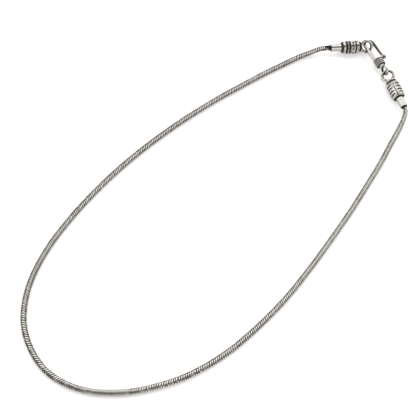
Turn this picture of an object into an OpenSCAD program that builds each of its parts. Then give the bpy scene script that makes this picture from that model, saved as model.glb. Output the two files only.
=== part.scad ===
// Round snake chain necklace lying in its open loop, fastened with a hook
// and an eye ring. Millimetres, +Z up. The loop's long way is X, with the
// clasp at +X, and everything lies on the plane Z = 0.

/* [Chain] */
// Diameter of the round snake chain
chain_d = 2.4; // [2.2:0.1:2.6]
// How far the chain reaches into each cap tube
chain_seat = 4.2; // [3:0.1:4.6]

/* [Cap tubes] */
// Length of tube that shows between chain and barrel
tube_len = 4.9; // [4.5:0.1:6]
// Wall of the tube
tube_wall = 0.3; // [0.25:0.05:0.4]
// How far the tube goes into the barrel
tube_seat = 1.6; // [1.2:0.1:2]

/* [Barrels] */
// Outer diameter of both barrels
barrel_d = 5.8; // [5.6:0.1:6.4]
// Length of both barrels without their necks
barrel_len = 7.5; // [7:0.1:8.5]
// Depth of the cut grooves
groove_depth = 0.55; // [0.3:0.05:0.7]
// Radius that rounds the edges of the bands
edge_r = 0.3; // [0.2:0.05:0.4]

/* [Banded barrel] */
// Width of the plain rim next to the tube
near_rim = 1.2; // [1:0.1:1.4]
// Width of the plain rim next to the ring
far_rim = 1.3; // [1.1:0.1:1.5]
// Width of the smooth band with the lozenges
band_len = 2.1; // [1.8:0.1:2.4]
// Width of the groove between the band and the rim next to the ring
band_groove = 0.5; // [0.4:0.05:0.6]
// Width of the step in front of the rim next to the tube
near_step = 0.3; // [0.2:0.05:0.5]
// Length of the narrow neck between the barrel and its ring
banded_neck = 1.1; // [0.8:0.1:1.4]
// Diameter of the beads in the beaded row
bead_d = 1; // [0.8:0.05:1.1]
// Number of beads in the row
bead_count = 17; // [14:1:18]
// Number of sunk lozenges round the band
lozenge_count = 7; // [5:1:8]
// Width of a lozenge, along the barrel
lozenge_wide = 1.3; // [1:0.05:1.5]
// Length of a lozenge, round the barrel
lozenge_long = 1.7; // [1.4:0.1:1.9]
// Depth of the lozenges
lozenge_depth = 0.15; // [0.1:0.05:0.25]

/* [Ribbed barrel] */
// Width of the plain rim next to the tube
rib_rim = 1.1; // [0.9:0.05:1.2]
// Distance from one groove to the next
rib_pitch = 1.5; // [1.4:0.05:1.55]
// Width of each groove
rib_groove = 0.6; // [0.4:0.05:0.7]
// Number of grooves
rib_count = 4; // [3:1:4]
// Length of the narrow neck between the barrel and its ring
ribbed_neck = 1.6; // [1.2:0.1:2]
// Thickness of each of the two bars of the ridge
bar_d = 1; // [0.8:0.1:1.2]
// How far the bars stand above the barrel
bar_rise = 0.1; // [0.05:0.05:0.2]
// How far the bars stop short of the barrel's ends
bar_inset = 0.4; // [0.3:0.1:0.6]
// Turn of the barrel, its ridge and its ring, from upright to the inside of the loop
ridge_turn = 26; // [0:1:60]

/* [Eye rings] */
// Outer diameter of the ring on each barrel
ring_d = 6.2; // [6:0.1:6.6]
// Thickness of the ring's wire
ring_wire = 1.25; // [1:0.05:1.3]
// How far the ring is sunk into its barrel's neck
ring_sink = 0.25; // [0.15:0.05:0.4]
// Turn of the left ring about its barrel, from lying flat
left_ring_turn = 46; // [42:1:60]

/* [Hook] */
// Thickness of the hook's wire
hook_wire = 1.4; // [1.2:0.05:1.5]
// How far the leg that passes through the left ring stands from the wrap's middle line
leg_offset = 1.4; // [1.2:0.1:1.5]
// Distance from the middle of the wrap to the middle of the bend
bend_reach = 10.1; // [9.8:0.1:12]
// Diameter of the ball on the free leg
ball_d = 2.4; // [2:0.1:2.6]
// Diameter over the wrap
wrap_d = 4.4; // [4.2:0.1:4.6]
// Thickness of the wire of the wrap
wrap_wire = 0.95; // [0.8:0.05:1]
// Number of turns in the wrap
wrap_turns = 4; // [4:1:5]
// Outer diameter of the small eye behind the wrap
eye_d = 4.8; // [4.6:0.1:5.2]
// Thickness of the small eye's wire
eye_wire = 1; // [0.8:0.05:1.05]

/* [Fits] */
// Gap round the chain in its tube
chain_fit = 0.1; // [0.06:0.01:0.2]
// Gap round the tube in its barrel
tube_fit = 0.05; // [0.03:0.01:0.1]
// Least gap between linked wires
link_fit = 0.15; // [0.1:0.01:0.2]

/* [Hidden] */
fine = 64;
wire_fine = 32;
silver = [0.80, 0.79, 0.77];
bright_silver = [0.88, 0.87, 0.85];
dark_silver = [0.55, 0.54, 0.52];

// Middle of the left tube's mouth on the plane, and the way the tube and its barrel point
left_mouth = [86.8, 17.1];
left_heading = -41;
// The way the hook points from its wrap to its bend, and the way the right barrel points
hook_heading = 66;
right_heading = 59.5;

// The chain's chosen points on the plane from left to right. The third number
// is the share of the rise to the tube's middle that the chain still has there.
ROUTE = [
    [83.2, 20.1, 0.82], [79.5, 22, 0.43], [75.5, 24, 0.07], [71, 25.5, 0.01], [64, 27.5, 0],
    [55, 30, 0], [42.5, 33, 0], [29, 36, 0], [11, 39, 0], [-8, 41, 0],
    [-25, 41.6, 0], [-40.5, 41, 0], [-54.5, 39.5, 0], [-67, 37.1, 0], [-78, 33.5, 0],
    [-87, 28.8, 0], [-95, 21.9, 0], [-100.1, 13.4, 0], [-102.4, 4, 0], [-101.1, -5.2, 0],
    [-96.8, -13.8, 0], [-89, -22.4, 0], [-79, -29.5, 0], [-68.5, -34.7, 0], [-55, -38.7, 0],
    [-41, -40.7, 0], [-24, -41.6, 0], [-8, -41, 0], [9, -39.5, 0], [26, -37.6, 0],
    [41, -35.4, 0], [55, -33.1, 0], [65, -31, 0.01], [72.6, -29.5, 0.05], [78.3, -28.1, 0.42],
    [81.9, -26.7, 0.83]
];
// Rings of the tube between one point of the route and the next, and its sides
ROUTE_STEPS = 2;
CHAIN_SIDES = 8;

// How far soldered rounds are pressed into each other, and how far a cutter runs past what it cuts
press = 0.05;
cut_over = 1;

// Sizes that follow from the driving ones
tube_bore = chain_d + 2 * chain_fit;
tube_d = tube_bore + 2 * tube_wall;
barrel_bore = tube_d + 2 * tube_fit;
floor_d = barrel_d - 2 * groove_depth;
axis_z = barrel_d / 2;
ring_r = (ring_d - ring_wire) / 2;
ring_reach = ring_d / 2 - ring_sink;
eye_r = (eye_d - eye_wire) / 2;
// The small eye is pulled against the wire of the right ring, which stands turned in it
link_slack = eye_r - eye_wire / 2 - ring_wire / 2 / cos(ridge_turn) - link_fit;
wrap_pitch = wrap_wire - press;
wrap_len = wrap_turns * wrap_pitch;
wrap_r = (wrap_d - wrap_wire) / 2;
shoulder_len = 1;
eye_back = wrap_len / 2 + shoulder_len + eye_d / 2 - eye_wire / 2;

// One leg passes through the left ring, short of the ring's middle, and the
// other passes just outside the ring
leg_in_ring = 0.4;
leg_gap = leg_in_ring * sin(hook_heading - left_heading) + ring_d / 2 + hook_wire / 2 + link_fit;
cross_back = 0.2;

// A point a distance from another along a heading
function ahead(p, heading, distance) = p + distance * [cos(heading), sin(heading)];
left_end = ahead(left_mouth, left_heading, tube_len + barrel_len + banded_neck);
left_ring = ahead(left_end, left_heading, ring_reach);
leg_cross = ahead(left_ring, left_heading, -leg_in_ring);
wrap_middle = ahead(ahead(leg_cross, hook_heading, cross_back - bend_reach), hook_heading - 90, leg_offset);
eye_middle = ahead(wrap_middle, hook_heading, -eye_back);
right_ring = ahead(ahead(eye_middle, hook_heading, -link_slack), right_heading, -ring_r);
right_end = ahead(right_ring, right_heading, -ring_reach);
right_mouth = ahead(right_end, right_heading, -tube_len - barrel_len - ribbed_neck);

// The chain's whole way in space: inside the left tube, out of its mouth, along
// the chosen points and straight into the right tube
mouth_lead = 0.7;
function lifted(p) = [p[0], p[1], chain_d / 2 + p[2] * (axis_z - chain_d / 2)];
function inside(mouth, heading, depth) = concat(ahead(mouth, heading, depth), [axis_z]);
WAY = concat(
    [for (depth = [chain_seat, 0, -mouth_lead]) inside(left_mouth, left_heading, depth)],
    [for (p = ROUTE) lifted(p)],
    [for (depth = [-mouth_lead, 0, chain_seat]) inside(right_mouth, right_heading, depth)]
);

// A point on the smooth curve through four neighbouring points, between the middle two
function blend(a, b, c, d, t) = b + t / 2 * (c - a)
    + t * t * (a - 2.5 * b + 2 * c - d / 2)
    + t * t * t * (1.5 * (b - c) + (d - a) / 2);
last = len(WAY) - 1;
function way_at(i, t) = blend(WAY[max(i - 1, 0)], WAY[i], WAY[i + 1], WAY[min(i + 2, last)], t);
chain_line = concat(
    [for (i = [0 : last - 1], k = [0 : ROUTE_STEPS - 1]) way_at(i, k / ROUTE_STEPS)],
    [WAY[last]]
);

function unit(v) = v / norm(v);
// One ring of the tube, square to the line at its point
function ring_points(i) =
    let (
        n = len(chain_line) - 1,
        along = unit(chain_line[min(i + 1, n)] - chain_line[max(i - 1, 0)]),
        side = unit(cross(along, [0, 0, 1])),
        up = cross(side, along)
    )
    [for (k = [0 : CHAIN_SIDES - 1])
        chain_line[i] + chain_d / 2 * (sin(k * 360 / CHAIN_SIDES) * side + cos(k * 360 / CHAIN_SIDES) * up)];

module snake_chain() {
    rings = len(chain_line);
    points = [for (i = [0 : rings - 1]) each ring_points(i)];
    sides = [for (i = [0 : rings - 2], k = [0 : CHAIN_SIDES - 1])
        let (a = i * CHAIN_SIDES, b = (k + 1) % CHAIN_SIDES)
        [a + k, a + CHAIN_SIDES + k, a + CHAIN_SIDES + b, a + b]];
    first_end = [for (k = [0 : CHAIN_SIDES - 1]) k];
    last_end = [for (k = [CHAIN_SIDES - 1 : -1 : 0]) (rings - 1) * CHAIN_SIDES + k];
    color(silver) polyhedron(points, concat([first_end], sides, [last_end]));
}

// Puts a cap on the plane: its mouth at the place given, its middle line along +X before
module place_cap(mouth, heading) {
    translate([mouth[0], mouth[1], axis_z]) rotate([0, 0, heading]) children();
}

// Round-edged disc along +X from x = start
module disc(start, length, d, edge = edge_r) {
    translate([start, 0, 0]) rotate([0, 90, 0]) rotate_extrude($fn = fine) {
        square([d / 2 - edge, length]);
        translate([0, edge]) square([d / 2, length - 2 * edge]);
        for (h = [edge, length - edge])
            translate([d / 2 - edge, h]) circle(r = edge, $fn = wire_fine);
    }
}

// Plain round rod along +X from x = start
module rod(start, length, d) {
    translate([start, 0, 0]) rotate([0, 90, 0]) cylinder(h = length, d = d, $fn = fine);
}

// Round wire bent to a full ring in the XY plane
module wire_ring(r, wire) {
    rotate_extrude($fn = fine) translate([r, 0]) circle(d = wire, $fn = wire_fine);
}

module cap_tube() {
    difference() {
        rod(0, tube_len + tube_seat, tube_d);
        rod(-cut_over, tube_len + tube_seat + 2 * cut_over, tube_bore);
    }
}

module left_cap_tube() {
    color(bright_silver) place_cap(left_mouth, left_heading) cap_tube();
}

module right_cap_tube() {
    color(bright_silver) place_cap(right_mouth, right_heading) cap_tube();
}

// Blind bore that the tube is pushed into
module tube_socket() {
    rod(-cut_over, tube_seat + tube_fit + cut_over, barrel_bore);
}

module banded_barrel() {
    band_start = barrel_len - far_rim - band_groove - band_len;
    bead_x = (near_step + near_rim + band_start) / 2;
    bead_r = (barrel_d - bead_d) / 2;
    color(silver) place_cap(left_mouth, left_heading) translate([tube_len, 0, 0]) {
        difference() {
            union() {
                disc(0, barrel_len + banded_neck, floor_d);
                disc(near_step, near_rim, barrel_d - 2 * edge_r);
                disc(band_start, band_len, barrel_d);
                disc(barrel_len - far_rim, far_rim, barrel_d);
                translate([bead_x, 0, 0]) rotate([0, 90, 0]) wire_ring(bead_r, bead_d / 2);
                for (i = [0 : bead_count - 1]) rotate([i * 360 / bead_count, 0, 0])
                    translate([bead_x, 0, bead_r]) sphere(d = bead_d, $fn = wire_fine);
            }
            tube_socket();
            for (i = [0 : lozenge_count - 1]) rotate([i * 360 / lozenge_count, 0, 0])
                translate([band_start + band_len / 2, 0, barrel_d / 2 - lozenge_depth]) lozenge();
        }
        translate([barrel_len + banded_neck + ring_reach, 0, 0]) rotate([left_ring_turn, 0, 0])
            wire_ring(ring_r, ring_wire);
    }
}

// Four-cornered cutter
module lozenge() {
    wide = lozenge_wide / 2;
    long = lozenge_long / 2;
    linear_extrude(cut_over) polygon([[wide, 0], [0, long], [-wide, 0], [0, -long]]);
}

module ribbed_barrel() {
    bar_r = (barrel_d - bar_d) / 2 + bar_rise;
    bar_turn = asin((bar_d - press) / 2 / bar_r);
    neck_root = 2 * edge_r;
    color(silver) place_cap(right_mouth, right_heading)
        translate([tube_len, 0, 0]) rotate([-ridge_turn, 0, 0]) {
            difference() {
                union() {
                    difference() {
                        disc(0, barrel_len, barrel_d, 2 * edge_r);
                        for (i = [0 : rib_count - 1])
                            translate([rib_rim + rib_groove / 2 + i * rib_pitch, 0, 0]) groove_cut();
                    }
                    for (side = [-1, 1]) rotate([side * bar_turn, 0, 0])
                        translate([0, 0, bar_r]) bar(bar_inset, barrel_len - 2 * bar_inset);
                }
                tube_socket();
            }
            disc(barrel_len - neck_root, neck_root + ribbed_neck, floor_d);
            translate([barrel_len + ribbed_neck + ring_reach, 0, 0]) wire_ring(ring_r, ring_wire);
        }
}

// Cutter of one groove round the barrel, with a round bottom
module groove_cut() {
    straight = groove_depth - rib_groove / 2;
    rotate([0, 90, 0]) rotate_extrude($fn = fine) {
        translate([floor_d / 2 + rib_groove / 2, 0]) circle(d = rib_groove, $fn = wire_fine);
        translate([floor_d / 2 + rib_groove / 2, -rib_groove / 2]) square([straight + cut_over, rib_groove]);
    }
}

// Raised bar along the barrel with round ends
module bar(start, length) {
    rod(start + bar_d / 2, length - bar_d, bar_d);
    for (x = [start + bar_d / 2, start + length - bar_d / 2])
        translate([x, 0, 0]) sphere(d = bar_d, $fn = wire_fine);
}

module clasp_hook() {
    color(bright_silver) translate([wrap_middle[0], wrap_middle[1], axis_z]) rotate([0, 0, hook_heading]) {
        hook_bend();
        hook_wrap();
        hook_eye();
    }
}

// The two legs and the bend between them. The free leg leaves the bend as a
// tangent and runs to the ball beside the wrap.
module hook_bend() {
    bend_r = leg_gap / 2;
    bend_y = leg_offset - bend_r;
    ball_ahead = 0.2;
    ball = [wrap_len / 2 + ball_ahead, -(wrap_d / 2 + link_fit + ball_d / 2)];
    to_bend = [bend_reach, bend_y] - ball;
    flare = atan2(to_bend[1], to_bend[0]) - asin(bend_r / norm(to_bend));
    free_len = sqrt(norm(to_bend) * norm(to_bend) - bend_r * bend_r);
    translate([0, leg_offset, 0]) rod(0, bend_reach, hook_wire);
    translate([bend_reach, leg_offset, 0]) knuckle();
    translate([bend_reach, bend_y, 0]) rotate([0, 0, flare - 90])
        rotate_extrude(angle = 180 - flare, $fn = fine)
            translate([bend_r, 0]) circle(d = hook_wire, $fn = wire_fine);
    translate([ball[0], ball[1], 0]) rotate([0, 0, flare]) {
        rotate([0, 90, 0]) sphere(d = ball_d, $fn = fine);
        rod(0, free_len, hook_wire);
        translate([free_len, 0, 0]) knuckle();
    }
}

// Hair-thin swelling that joins a straight leg to the bend, with its poles on the leg's line
module knuckle() {
    swell = 0.02;
    rotate([0, 90, 0]) sphere(d = hook_wire + swell, $fn = fine);
}

// Turns of wire pressed side by side round a core
module hook_wrap() {
    translate([-wrap_len / 2, 0, 0]) rotate([0, 90, 0]) rotate_extrude($fn = fine) {
        square([wrap_r, wrap_len]);
        for (i = [0 : wrap_turns - 1])
            translate([wrap_r, (i + 0.5) * wrap_pitch]) circle(d = wrap_wire, $fn = wire_fine);
    }
}

// Shoulder behind the wrap and the small upright eye
module hook_eye() {
    translate([-wrap_len / 2 - shoulder_len, 0, 0]) rotate([0, 90, 0])
        cylinder(h = shoulder_len, d1 = eye_wire, d2 = wrap_d - 2 * wrap_wire, $fn = fine);
    translate([-eye_back, 0, 0]) rotate([90, 0, 0]) wire_ring(eye_r, eye_wire);
}

snake_chain();
left_cap_tube();
banded_barrel();
clasp_hook();
ribbed_barrel();
right_cap_tube();
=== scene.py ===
# Round snake chain necklace of oxidised silver, lying fastened on a pale floor.
# The solids come from the frame in metres. Sizes below are in millimetres, and MM turns them into metres.
import math

import bpy
import numpy as np
from mathutils import Matrix


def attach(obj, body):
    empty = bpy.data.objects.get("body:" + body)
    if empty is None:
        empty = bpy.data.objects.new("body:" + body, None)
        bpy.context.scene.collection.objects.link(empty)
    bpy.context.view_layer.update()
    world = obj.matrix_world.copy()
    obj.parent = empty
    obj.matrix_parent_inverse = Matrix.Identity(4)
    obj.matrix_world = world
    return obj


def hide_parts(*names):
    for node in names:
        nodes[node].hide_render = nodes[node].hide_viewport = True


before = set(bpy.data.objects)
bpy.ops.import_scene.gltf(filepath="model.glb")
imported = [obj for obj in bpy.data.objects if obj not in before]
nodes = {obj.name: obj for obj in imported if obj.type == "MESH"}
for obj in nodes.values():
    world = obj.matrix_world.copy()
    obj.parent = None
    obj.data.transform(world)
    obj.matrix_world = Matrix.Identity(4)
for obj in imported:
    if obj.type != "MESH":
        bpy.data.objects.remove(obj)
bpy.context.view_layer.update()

MM = 0.001
scene = bpy.context.scene

# Camera
# A long lens looks down on the loop from its far left side, turned a little about its own line of sight. Its
# place and turn are fitted to the loop and to the round parts of the clasp. The angles are in degrees.
LOOK_AT = (-12.24, 3.63, 1.2)
DISTANCE = 393.84
ELEVATION = 59.15
AZIMUTH = 206.75
ROLL = 15.05
# Focal length in pixels of a picture of this width, and the width of the camera's sensor
FOCAL_PIXELS = 1009.4
IMAGE_PIXELS = 420
SENSOR = 36
NEAREST = 10

camera = bpy.data.objects.new("camera", bpy.data.cameras.new("camera"))
scene.collection.objects.link(camera)
turned = (
    Matrix.Rotation(math.radians(AZIMUTH + 90), 4, "Z")
    @ Matrix.Rotation(math.radians(90 - ELEVATION), 4, "X")
    @ Matrix.Rotation(math.radians(ROLL), 4, "Z")
)
camera.matrix_world = (
    Matrix.Translation([MM * v for v in LOOK_AT]) @ turned @ Matrix.Translation((0, 0, MM * DISTANCE))
)
camera.data.sensor_width = SENSOR
camera.data.lens = SENSOR * FOCAL_PIXELS / IMAGE_PIXELS
camera.data.clip_start = MM * NEAREST
scene.camera = camera
scene.view_settings.view_transform = "Standard"


# Light
# A white tent all round, a little brighter on one side, with one small strong lamp high up. Three soft
# dark openings, two of them beside the camera, leave dark streaks in the polished silver.
class Shade:
    """A value or colour in a shader tree. Python's operators add the Math nodes that work it out."""

    def __init__(self, tree, socket=None):
        self.tree = tree
        self.socket = socket

    def node(self, kind, settings=None, sockets=None, out=0):
        """Adds a node: its settings first, a ramp's stops among them, then its sockets' values or links."""
        made = self.tree.nodes.new(kind)
        for name, value in (settings or {}).items():
            if name == "stops":
                ramp = made.color_ramp.elements
                while len(ramp) < len(value):
                    ramp.new(0.5)
                for stop, (place, colour) in zip(ramp, value):
                    stop.position = place
                    stop.color = (*colour, 1)
            else:
                setattr(made, name, value)
        for name, value in (sockets or {}).items():
            if isinstance(value, Shade):
                self.tree.links.new(value.socket, made.inputs[name])
            else:
                made.inputs[name].default_value = value
        return Shade(self.tree, made.outputs[out] if made.outputs else None)

    def math(self, operation, *others):
        values = {i: v for i, v in enumerate((self, *others))}
        return self.node("ShaderNodeMath", {"operation": operation}, values)

    def __add__(self, other):
        return self.math("ADD", other)

    __radd__ = __add__

    def __mul__(self, other):
        return self.math("MULTIPLY", other)

    __rmul__ = __mul__

    def __sub__(self, other):
        return self.math("SUBTRACT", other)

    def __rsub__(self, other):
        return self.node("ShaderNodeMath", {"operation": "SUBTRACT"}, {0: other, 1: self})

    def __truediv__(self, other):
        return self.math("DIVIDE", other)

    def __pow__(self, other):
        return self.math("POWER", other)

    def rise(self, low, high, to=1.0):
        """0 below low and to above high, with a smooth step between them."""
        settings = {"interpolation_type": "SMOOTHSTEP"}
        return self.node("ShaderNodeMapRange", settings, {0: self, 1: low, 2: high, 4: to})

    def vector(self, operation, other, out=0):
        return self.node("ShaderNodeVectorMath", {"operation": operation}, {0: self, 1: other}, out)

    def part(self, axis):
        return self.node("ShaderNodeSeparateXYZ", {}, {0: self}, axis)

    def mix(self, low, high):
        """The colour low where this value is 0 and high where it is 1."""
        sockets = {0: self, 6: low, 7: high}
        return self.node("ShaderNodeMix", {"data_type": "RGBA"}, sockets, 2)


def direction(azimuth, elevation):
    """Unit vector at an azimuth from +X towards +Y and an elevation above the floor, in degrees."""
    a, e = math.radians(azimuth), math.radians(elevation)
    return (math.cos(a) * math.cos(e), math.sin(a) * math.cos(e), math.sin(e))


# Colour and strength of the tent
TENT = (1.0, 0.995, 0.985)
TENT_STRENGTH = 1.75
# Azimuth, elevation and the two angles from its middle between which it fades, in degrees, and strength:
# first the brighter side, then the lamp
LAMPS = [(125, 35, 50, 15, 0.35), (0, 55, 12, 5, 3.5)]
# The same of each dark opening, with the share of the light that it keeps back in place of a strength
OPENINGS = [(-88, 74, 30, 20, 0.88), (172, 50, 36, 25, 0.93), (-35, 25, 40, 15, 0.3)]

world = bpy.data.worlds.new("tent")
world.use_nodes = True
world.node_tree.nodes.clear()
start = Shade(world.node_tree)
way = start.node("ShaderNodeTexCoord", {}, {}, "Generated")


def patch(azimuth, elevation, wide, narrow, strength):
    """Soft round patch of the tent about a direction."""
    low, high = math.cos(math.radians(wide)), math.cos(math.radians(narrow))
    return way.vector("DOT_PRODUCT", direction(azimuth, elevation), "Value").rise(low, high, strength)


bright = TENT_STRENGTH
for lamp in LAMPS:
    bright = bright + patch(*lamp)
for opening in OPENINGS:
    bright = bright * (1 - patch(*opening))
glow = start.node("ShaderNodeBackground", {}, {"Color": (*TENT, 1), "Strength": bright})
start.node("ShaderNodeOutputWorld", {}, {"Surface": glow})
scene.world = world

# Floor
# Plain white board, a little below pure white, matt, with the faintest unevenness. It's lit a little from
# below, so that shadows on it stay pale and short.
FLOOR_HALF = 1500
FLOOR_COLOUR = (0.94, 0.94, 0.94)
FLOOR_GLOW = 0.27
# Size of the unevenness, as spots a metre, and how much lighter it is
MOTTLE_SCALE = 12.0
MOTTLE_LIGHTER = 0.005


def mesh_object(name, points, faces, material):
    """A smoothly shaded mesh from an array of points in metres and an array of four-sided faces."""
    mesh = bpy.data.meshes.new(name)
    mesh.vertices.add(len(points))
    mesh.vertices.foreach_set("co", np.asarray(points, np.float32).ravel())
    mesh.loops.add(faces.size)
    mesh.loops.foreach_set("vertex_index", faces.astype(np.int32).ravel())
    mesh.polygons.add(len(faces))
    mesh.polygons.foreach_set("loop_start", np.arange(len(faces), dtype=np.int32) * 4)
    mesh.polygons.foreach_set("use_smooth", np.ones(len(faces), bool))
    mesh.update(calc_edges=True)
    mesh.materials.append(material)
    piece = bpy.data.objects.new(name, mesh)
    scene.collection.objects.link(piece)
    return piece


def new_material(name):
    """An empty material, with the value that its shader tree grows from."""
    material = bpy.data.materials.new(name)
    material.use_nodes = True
    material.node_tree.nodes.clear()
    return material, Shade(material.node_tree)


def principled(shade, **sockets):
    """The Principled shader that ends a material. Names of sockets are written with underscores."""
    named = {name.replace("_", " "): value for name, value in sockets.items()}
    shader = shade.node("ShaderNodeBsdfPrincipled", {}, named)
    shade.node("ShaderNodeOutputMaterial", {}, {"Surface": shader})


board, shade = new_material("white_board")
place = shade.node("ShaderNodeTexCoord", {}, {}, "Object")
mottle = shade.node("ShaderNodeTexNoise", {}, {"Vector": place, "Scale": MOTTLE_SCALE, "Detail": 2.0})
board_colour = mottle.mix((*FLOOR_COLOUR, 1), (*[c + MOTTLE_LIGHTER for c in FLOOR_COLOUR], 1))
principled(
    shade, Base_Color=board_colour, Roughness=0.9, Specular_IOR_Level=0.1,
    Emission_Color=(1, 1, 1, 1), Emission_Strength=FLOOR_GLOW,
)

corner = MM * FLOOR_HALF
floor = mesh_object(
    "floor",
    np.array([(-corner, -corner, 0), (corner, -corner, 0), (corner, corner, 0), (-corner, corner, 0)]),
    np.array([(0, 1, 2, 3)]),
    board,
)

# Snake chain
# Pressed silver rings, each bent into a wave of four slanting bars round the chain, so that every ring
# tucks under the next one. The rings are polished outside and blackened where they pass under each other.
CHAIN_D = 2.4
LINK_PITCH = 0.904
# How deep the chain sits in a cap tube, and how far it runs straight on outside
CHAIN_SEAT = 4.2
MOUTH_LEAD = 0.7
# Headings of the two caps in degrees, and the height of their middle lines
LEFT_HEADING = -41
RIGHT_HEADING = 59.5
AXIS_Z = 2.9
# Places on the chain's middle line: x, y, and its height as a share, from 0 on the floor to 1 at the caps
ROUTE = [
    [83.2, 20.1, 0.82], [79.5, 22, 0.43], [75.5, 24, 0.07], [71, 25.5, 0.01], [64, 27.5, 0],
    [55, 30, 0], [42.5, 33, 0], [29, 36, 0], [11, 39, 0], [-8, 41, 0],
    [-25, 41.6, 0], [-40.5, 41, 0], [-54.5, 39.5, 0], [-67, 37.1, 0], [-78, 33.5, 0],
    [-87, 28.8, 0], [-95, 21.9, 0], [-100.1, 13.4, 0], [-102.4, 4, 0], [-101.1, -5.2, 0],
    [-96.8, -13.8, 0], [-89, -22.4, 0], [-79, -29.5, 0], [-68.5, -34.7, 0], [-55, -38.7, 0],
    [-41, -40.7, 0], [-24, -41.6, 0], [-8, -41, 0], [9, -39.5, 0], [26, -37.6, 0],
    [41, -35.4, 0], [55, -33.1, 0], [65, -31, 0.01], [72.6, -29.5, 0.05], [78.3, -28.1, 0.42],
    [81.9, -26.7, 0.83],
]


def along(heading):
    """Unit vector of a heading on the floor."""
    return np.array([math.cos(math.radians(heading)), math.sin(math.radians(heading)), 0])


def tube_mouth(node, heading):
    """Middle of a cap tube's mouth in millimetres: the tube's lowest place along its heading."""
    points = np.empty(len(nodes[node].data.vertices) * 3)
    nodes[node].data.vertices.foreach_get("co", points)
    points = points.reshape(-1, 3) / MM
    ahead, side = along(heading), along(heading + 90)
    across = points @ side
    mouth = (points @ ahead).min() * ahead + (across.min() + across.max()) / 2 * side
    return mouth + [0, 0, (points[:, 2].min() + points[:, 2].max()) / 2]


left_mouth = tube_mouth("left_cap_tube", LEFT_HEADING)
right_mouth = tube_mouth("right_cap_tube", RIGHT_HEADING)


def chain_way():
    """The chain's whole way: from inside the left tube, along the route and into the right tube."""
    depths = np.array([CHAIN_SEAT, 0, -MOUTH_LEAD])[:, None]
    route = np.array(ROUTE, float)
    route[:, 2] = CHAIN_D / 2 + route[:, 2] * (AXIS_Z - CHAIN_D / 2)
    left_end = left_mouth + depths * along(LEFT_HEADING)
    right_end = right_mouth + depths[::-1] * along(RIGHT_HEADING)
    return np.vstack([left_end, route, right_end])


def smooth_line(way, steps):
    """Catmull-Rom curve: between two points b and c, with neighbours a and d, it is the cubic with
    slopes (c - a) / 2 at b and (d - b) / 2 at c."""
    padded = np.vstack([way[:1], way, way[-1:]])
    a, b, c, d = (padded[i:len(padded) - 3 + i, None] for i in range(4))
    t = (np.arange(steps) / steps)[None, :, None]
    line = b + t / 2 * (c - a) + t**2 * (a - 2.5 * b + 2 * c - d / 2) + t**3 * (1.5 * (b - c) + (d - a) / 2)
    return np.vstack([line.reshape(-1, 3), way[-1:]])


LINE_STEPS = 40
line = smooth_line(chain_way(), LINE_STEPS)
# Distance along the chain at each of the line's points
run = np.concatenate([[0], np.cumsum(np.linalg.norm(np.diff(line, axis=0), axis=1))])


def on_chain(distance, turn, radius):
    """Points at a distance along the chain, turned about its middle line from the top towards its
    right-hand side, a radius away from it. All three are arrays of one shape."""
    slope = np.gradient(line, run, axis=0)
    middle, ahead = (
        np.stack([np.interp(distance, run, values[:, i]) for i in range(3)], -1) for values in (line, slope)
    )
    ahead /= np.linalg.norm(ahead, axis=-1, keepdims=True)
    side = np.cross(ahead, [0, 0, 1])
    side /= np.linalg.norm(side, axis=-1, keepdims=True)
    up = np.cross(side, ahead)
    outwards = np.cos(turn)[..., None] * up + np.sin(turn)[..., None] * side
    return middle + radius[..., None] * outwards


# Turn of the columns about the chain in degrees, at shares of its length. It twists a little as it lies.
TWIST = np.array([
    [0, -24], [0.33, -22], [0.40, -10], [0.47, 8], [0.50, 0], [0.54, -12], [0.60, -8], [0.65, 6], [1, 2],
])
# Columns of bars round the chain, points across one bar, and how far the bars slant and are shifted
COLUMNS = 4
BAR_POINTS = 4
BAR_SLANT = 0.36
COLUMN_SHIFT = LINK_PITCH / 4
# Places across one ring, as shares of the pitch along the chain and depths under the chain's outside, and
# how much deeper the ends of a bar lie
RING_PROFILE = np.array([(-0.45, 0.40), (-0.27, 0.03), (0.10, 0.0), (0.28, 0.42)])
PIT_DEPTH = 0.12
# How black each of these places is, from 0 to 1, how much blacker the ends of a bar are, and how much
# duller than the brightest ring another ring can be
RING_TUCK = np.array([1.0, 0.0, 0.0, 1.0])
PIT_TUCK = 0.34
RING_DULL = 0.12
# The rings don't sit quite evenly: their turn in degrees and their place as a share of the pitch vary
TURN_SPREAD = 3.0
PLACE_SPREAD = 0.04
SEED = 7


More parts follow.
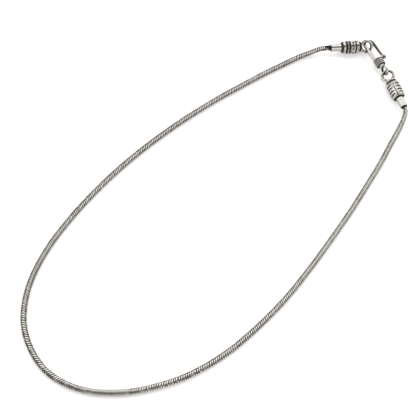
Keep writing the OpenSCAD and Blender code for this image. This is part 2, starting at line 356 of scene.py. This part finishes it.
def chain_links():
    """Rings along the chain, spread evenly but for small random shifts and turns. Each has four columns,
    and in column c the bar runs at -(-1)^c (shift + slant u) along the chain, where u goes from -1 to 1
    across the column. Its ends dip inwards. Returns the points, the faces, and how deep each point is
    tucked in, from 0 to 1."""
    draws = np.random.default_rng(SEED)
    count = int((run[-1] - LINK_PITCH) / LINK_PITCH)
    middle = (np.arange(count) + 0.5) / count * (run[-1] - 2 * LINK_PITCH) + LINK_PITCH
    middle += draws.normal(0, PLACE_SPREAD * LINK_PITCH, count)
    spokes = COLUMNS * BAR_POINTS
    spoke = np.arange(spokes)
    sign = -(-1.0) ** (spoke // BAR_POINTS)
    u = (spoke % BAR_POINTS) / (BAR_POINTS - 1) * 2 - 1
    wave = sign * (COLUMN_SHIFT + BAR_SLANT * u)
    at_end = np.abs(u) > 0.9
    twist = np.interp(middle / run[-1], TWIST[:, 0], TWIST[:, 1]) + draws.normal(0, TURN_SPREAD, count)
    turn = np.radians(twist)[:, None] + (spoke + 0.5 - BAR_POINTS / 2) / spokes * 2 * np.pi
    shape = (count, spokes, len(RING_PROFILE))
    distance = middle[:, None, None] + wave[None, :, None] + RING_PROFILE[:, 0] * LINK_PITCH
    distance = np.clip(np.broadcast_to(distance, shape), 0, run[-1])
    radius = np.broadcast_to(CHAIN_D / 2 - RING_PROFILE[:, 1] - PIT_DEPTH * at_end[None, :, None], shape)
    points = on_chain(distance, np.broadcast_to(turn[:, :, None], shape), radius)
    ring = np.arange(count)[:, None, None] * spokes * shape[2]
    here = spoke[None, :, None] * shape[2]
    after = (spoke[None, :, None] + 1) % spokes * shape[2]
    low = np.arange(shape[2])[None, None, :]
    high = (np.arange(shape[2])[None, None, :] + 1) % shape[2]
    corners = [ring + here + low, ring + after + low, ring + after + high, ring + here + high]
    faces = np.stack([np.broadcast_to(c, shape) for c in corners], -1).reshape(-1, 4)
    dull = RING_DULL * draws.random(count)[:, None, None]
    tuck = np.clip(RING_TUCK + PIT_TUCK * at_end[None, :, None] + dull, 0, 1)
    return points.reshape(-1, 3) * MM, faces, tuck.ravel()


def cap_place(shade, start, heading, roll=0.0):
    """Place in millimetres from a start: x along its heading, y to the left and z up, before the roll."""
    place = shade.node("ShaderNodeTexCoord", {}, {}, "Object")
    turn = (math.radians(roll), 0, math.radians(heading))
    sockets = {"Vector": place, "Location": [MM * v for v in start], "Rotation": turn, "Scale": (MM, MM, MM)}
    return shade.node("ShaderNodeMapping", {"vector_type": "TEXTURE"}, sockets)


# Colour of the silver where it is polished, where it is dull, and where it is black: with tarnish, and where
# shade is painted
POLISHED = (0.42, 0.414, 0.40)
DULL = (0.26, 0.22, 0.175)
BLACK = (0.014, 0.011, 0.009)
# Share of tarnish and painted shade at which it is dull, and how much rougher and less metallic it is where
# it is black
DULL_AT = 0.4
BLACK_ROUGHER = 0.4
BLACK_METAL_LOSS = 0.5
# Clouds of tarnish: spots a millimetre, and the noise between which they fade in
CLOUD_SCALE = 0.7
CLOUD_EDGE = (0.44, 0.68)
# Grain: spots a millimetre, its depth in millimetres, the noise between which it is rough, and how rough
GRAIN_SCALE = 7.0
GRAIN_DEPTH = 0.012
GRAIN_EDGE = (0.4, 0.7)
GRAIN_ROUGH = 0.08


def either(*masks):
    """1 where any of the masks is 1: one minus the product of what each of them leaves."""
    left = 1 - masks[0]
    for mask in masks[1:]:
        left = left * (1 - mask)
    return 1 - left


def old_silver(shade, place, tuck, patina, polished=POLISHED, shine=0.14):
    """Silver that is black where tuck is 1, with clouds of tarnish as strong as the patina, uneven shine and
    fine grain. Tuck carries tarnish, and on the chain and the hook painted shade and a painted dark
    reflection as well. The place is in millimetres, and shine is the roughness where it is polished."""
    cloudy = {"Vector": place, "Scale": CLOUD_SCALE, "Detail": 6.0, "Roughness": 0.65}
    clouds = shade.node("ShaderNodeTexNoise", {}, cloudy)
    grain = shade.node("ShaderNodeTexNoise", {}, {"Vector": place, "Scale": GRAIN_SCALE, "Detail": 4.0})
    tarnish_and_shade = either(tuck, clouds.rise(*CLOUD_EDGE, patina))
    stops = [(0.0, polished), (DULL_AT, DULL), (1.0, BLACK)]
    colour = shade.node("ShaderNodeValToRGB", {"stops": stops}, {"Fac": tarnish_and_shade})
    bump = shade.node("ShaderNodeBump", {}, {"Strength": 1.0, "Distance": MM * GRAIN_DEPTH, "Height": grain})
    rough = shine + tarnish_and_shade * BLACK_ROUGHER + grain.rise(*GRAIN_EDGE, GRAIN_ROUGH)
    metal = 1 - tarnish_and_shade * BLACK_METAL_LOSS
    principled(shade, Base_Color=colour, Roughness=rough, Metallic=metal, Normal=bump)


# The chain's rings are worn brighter than the cast parts
WORN = (0.95, 0.942, 0.926)
# Tucks between which a ring turns black, and how much the tuck darkens it besides
TUCK_EDGE = (0.3, 0.6)
TUCK_SHADE = 0.6
# Distances from a cap's mouth between which the black ring there fades out, and the black patch at the left
# mouth.
# The patch also fades out between these places across the chain, so that its inner side stays bright.
MOUTH_ENDS = (0.95, 0.8)
PATCH_ENDS = (2.8, 2.2)
PATCH_SIDE = (-0.85, -0.5)
# Neither is painted on the chain further from the mouth than this
MOUTH_REACH = (4, 3.5)
# Heights between which the chain's underside is darkened with painted contact shade, and how dark
CONTACT_SHADE_HEIGHTS = (1.75, 1.15)
CONTACT_SHADE_DARKNESS = 0.8


def near_mouth(place, ends):
    """1 on the chain next to a cap's mouth, and 0 beyond the ends, which are distances from it."""
    close = place.vector("LENGTH", (0, 0, 0), "Value").rise(*MOUTH_REACH)
    return place.part(0).rise(-ends[0], -ends[1]) * close


chain_silver, shade = new_material("chain_silver")
points, faces, tuck = chain_links()
tucked = shade.node("ShaderNodeAttribute", {"attribute_name": "tuck"}, {}, "Fac")
near_left = cap_place(shade, left_mouth, LEFT_HEADING)
near_right = cap_place(shade, right_mouth, RIGHT_HEADING)
# A black patch on one side of the chain next to the left mouth.
left_mouth_patch = near_mouth(near_left, PATCH_ENDS) * near_left.part(1).rise(*PATCH_SIDE)
rims = [near_mouth(place, MOUTH_ENDS) for place in (near_left, near_right)]
height = shade.node("ShaderNodeTexCoord", {}, {}, "Object").part(2) / MM
# Painted contact shade: the chain is darkened towards the floor, below these heights.
painted_contact_shade = height.rise(*CONTACT_SHADE_HEIGHTS, CONTACT_SHADE_DARKNESS)
black_and_painted_shade = either(tucked.rise(*TUCK_EDGE), tucked * TUCK_SHADE, left_mouth_patch, *rims, painted_contact_shade)
old_silver(shade, near_left, black_and_painted_shade, patina=0.05, polished=WORN, shine=0.35)
links = mesh_object("chain_links", points, faces, chain_silver)
links.data.attributes.new("tuck", "FLOAT", "POINT").data.foreach_set("value", tuck.astype(np.float32))
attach(links, "root")
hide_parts("snake_chain")

# Core of the chain
# The blackened inside of the silver rings, seen only as dark lines between them. Here it is a plain tube
# that runs from deep inside one cap tube to deep inside the other.
CORE_D = 1.7
CORE_SIDES = 12
CORE_STEPS = 300
# How far the core stays back from the chain's ends, and the radius that closes it there
CORE_BACK = 0.1
CORE_TIP = 0.01
CORE_BLACK = 0.95


def chain_core():
    """A closed tube: circles along the chain, with the first and the last drawn in to their middles."""
    distance = np.linspace(CORE_BACK, run[-1] - CORE_BACK, CORE_STEPS)
    radius = np.full(CORE_STEPS, CORE_D / 2)
    radius[[0, -1]] = CORE_TIP
    distance[[0, -1]] = distance[[1, -2]]
    turn = np.arange(CORE_SIDES) / CORE_SIDES * 2 * np.pi
    grid = np.broadcast_to(distance[:, None], (CORE_STEPS, CORE_SIDES))
    points = on_chain(grid, np.broadcast_to(turn, grid.shape), np.broadcast_to(radius[:, None], grid.shape))
    ring, side = np.meshgrid(np.arange(CORE_STEPS - 1) * CORE_SIDES, np.arange(CORE_SIDES), indexing="ij")
    after = (side + 1) % CORE_SIDES
    faces = np.stack([ring + side, ring + after, ring + CORE_SIDES + after, ring + CORE_SIDES + side], -1)
    return points.reshape(-1, 3) * MM, faces.reshape(-1, 4)


chain_black, shade = new_material("chain_black")
old_silver(shade, cap_place(shade, left_mouth, LEFT_HEADING), CORE_BLACK, patina=0.2)
core = mesh_object("chain_core", *chain_core(), chain_black)
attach(core, "root")
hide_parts("snake_chain")

# Cap tubes
# Drawn silver tubes that the chain is glued into, polished, with brown tarnish where they enter the barrels
# and inside their bores.
TUBE_LEN = 4.9
# Distances from the mouth between which the tarnish at the barrel starts, radii between which that in the
# bore ends, and how strong the two are
JOINT_START = (4.15, 4.55)
BORE_EDGE = (1.5, 1.35)
JOINT_TINT = 0.75
BORE_TINT = 0.9


def from_axis(place):
    """Distance from a piece's middle line."""
    return place.vector("MULTIPLY", (0, 1, 1)).vector("LENGTH", (0, 0, 0), "Value")


for name, mouth, heading in (
    ("left_cap_tube", left_mouth, LEFT_HEADING), ("right_cap_tube", right_mouth, RIGHT_HEADING),
):
    tube_silver, shade = new_material(name + "_silver")
    place = cap_place(shade, mouth, heading)
    joint = place.part(0).rise(*JOINT_START, JOINT_TINT)
    bore = from_axis(place).rise(*BORE_EDGE, BORE_TINT)
    old_silver(shade, place, either(joint, bore), patina=0.12, shine=0.1)
    nodes[name].material_slots[0].material = tube_silver

# Banded barrel
# Cast silver: rims, beaded row and band are polished high spots, and the grooves, the pits between the
# beads, the sunk lozenges and the neck are black with tarnish. Its wire ring is soldered on.
BARREL_LEN = 7.5
BARREL_R = 2.9
BANDED_NECK = 1.1
# Depths under the barrel's outside between which its grooves turn black
BANDED_DEPTHS = (0.06, 0.3)
# End of the rim next to the tube, and the radii between which its end face turns black
NEAR_RIM = (1.5, 1.44)
NEAR_FACE = (2.55, 2.4)
# The black ends between these distances past the neck, where the ring starts
NECK_ENDS = (0.05, 0.3)
# Places between which the band's sunk lozenges start and end, and radii between which they turn dark
BAND_START = (3.8, 3.9)
BAND_END = (5.5, 5.4)
LOZENGE_EDGE = (2.88, 2.80)
LOZENGE_TINT = 0.7
# Distance from the neck to the wire ring's middle, and the radius inside which the wire is black
RING_REACH = 2.85
RING_INSIDE = 2.35
RING_FADE = 0.15


def inner_side(place, centre, radius):
    """1 on the inner side of a wire ring: nearer to its middle than the radius. 0 outside."""
    return place.vector("DISTANCE", centre, "Value").rise(radius + RING_FADE, radius - RING_FADE)


banded_silver, shade = new_material("banded_barrel_silver")
left_start = left_mouth + TUBE_LEN * along(LEFT_HEADING)
place = cap_place(shade, left_start, LEFT_HEADING)
radius = from_axis(place)
x = place.part(0)
neck_end = BARREL_LEN + BANDED_NECK
groove = radius.rise(*[BARREL_R - depth for depth in BANDED_DEPTHS])
near_part = x.rise(*NEAR_RIM)
near = radius.rise(*NEAR_FACE) * near_part
ring_part = x.rise(*[neck_end + distance for distance in NECK_ENDS])
body = groove * (1 - near_part) * (1 - ring_part)
lozenge = radius.rise(*LOZENGE_EDGE, LOZENGE_TINT) * (x.rise(*BAND_START) * x.rise(*BAND_END))
inner = inner_side(place, (neck_end + RING_REACH, 0, 0), RING_INSIDE)
old_silver(shade, place, either(near, body, lozenge, inner), patina=0.5)
nodes["banded_barrel"].material_slots[0].material = banded_silver

# Ribbed barrel
# Cast silver: four grooves, the seam between the two bars of the ridge and the foot of the neck are black
# with tarnish. Its wire ring is soldered on, and both are rolled about their own line.
RIDGE_TURN = 26
RIBBED_NECK = 1.6
# Depths under the barrel's outside between which its grooves turn black, distances from the tube between
# which that starts, and distances past the barrel's end between which it ends on the neck
RIBBED_DEPTHS = (0.03, 0.09)
BODY_START = (0.7, 0.8)
FOOT_ENDS = (0.8, 1.0)
# Distances from the barrel's end, and radii, between which its end face round the tube turns black
END_FACE = (0.12, 0.02)
END_FACE_R = (2.5, 2.3)
# Half widths and heights between which the seam turns black, and the places between which it fades out
SEAM_WIDTH = (0.24, 0.11)
SEAM_HEIGHT = (2, 2.2)
SEAM_ENDS = (6.5, 3.5)

ribbed_silver, shade = new_material("ribbed_barrel_silver")
right_start = right_mouth + TUBE_LEN * along(RIGHT_HEADING)
place = cap_place(shade, right_start, RIGHT_HEADING, -RIDGE_TURN)
radius = from_axis(place)
x, y, z = (place.part(i) for i in range(3))
groove = radius.rise(*[BARREL_R - depth for depth in RIBBED_DEPTHS])
body = x.rise(*BODY_START) * (1 - x.rise(*[BARREL_LEN + distance for distance in FOOT_ENDS]))
end_face = x.rise(*END_FACE) * radius.rise(*END_FACE_R)
seam = y.math("ABSOLUTE").rise(*SEAM_WIDTH) * z.rise(*SEAM_HEIGHT) * x.rise(*SEAM_ENDS)
inner = inner_side(place, (BARREL_LEN + RIBBED_NECK + RING_REACH, 0, 0), RING_INSIDE)
old_silver(shade, place, either(groove * body, end_face, seam, inner), patina=0.5)
nodes["ribbed_barrel"].material_slots[0].material = ribbed_silver

# Hook
# Bent silver wire with a ball on its free leg and four turns of wire wrapped round its root, all soldered.
# Polished, black between the turns and inside the eye, with painted shade on the inner sides of the legs and
# a small painted dark reflection on the ball.
HOOK_HEADING = 66
WRAP_MIDDLE = (96.09, -2.978, AXIS_Z)
# Distances from its middle between which the wrap ends, and radii between which it turns black
WRAP_ENDS = (1.9, 1.82)
WRAP_EDGE = (2.17, 2.09)
# Distance from the wrap's middle back to the eye's, and the radius inside which the eye's wire is black
EYE_BACK = 4.7
EYE_INSIDE = 1.9
# Middle of the bend, distances from the line midway between the legs between which their inner sides get
# painted shade, distances from the wrap's middle between which that starts, and how dark
BEND_X = 10.1
BEND_Y = -1.0
LEG_SHADE_EDGE = (2.25, 1.9)
LEG_SHADE_START = (3.2, 3.6)
LEG_SHADE_TINT = 0.85
# Middle of the spot, a painted dark reflection on the ball's upper side, and the radii between which it
# turns black
BALL_REFLECTION = (1.60, -3.08, 1.04)
REFLECTION_EDGE = (0.55, 0.45)

hook_silver, shade = new_material("clasp_hook_silver")
place = cap_place(shade, WRAP_MIDDLE, HOOK_HEADING)
x, y = place.part(0), place.part(1)
between = from_axis(place).rise(*WRAP_EDGE) * x.math("ABSOLUTE").rise(*WRAP_ENDS)
past_bend = (x - BEND_X).math("MAXIMUM", 0.0)
aside = y - BEND_Y
# Painted shade on the inner sides of the legs and the bend, inside the hook's U.
inner = ((past_bend * past_bend + aside * aside) ** 0.5).rise(*LEG_SHADE_EDGE) * x.rise(*LEG_SHADE_START, LEG_SHADE_TINT)
eye = inner_side(place, (-EYE_BACK, 0, 0), EYE_INSIDE)
# Painted dark reflection: a small black spot on the ball.
painted_reflection = place.vector("DISTANCE", BALL_REFLECTION, "Value").rise(*REFLECTION_EDGE)
old_silver(shade, place, either(between, inner, eye, painted_reflection), patina=0.4, shine=0.1)
nodes["clasp_hook"].material_slots[0].material = hook_silver
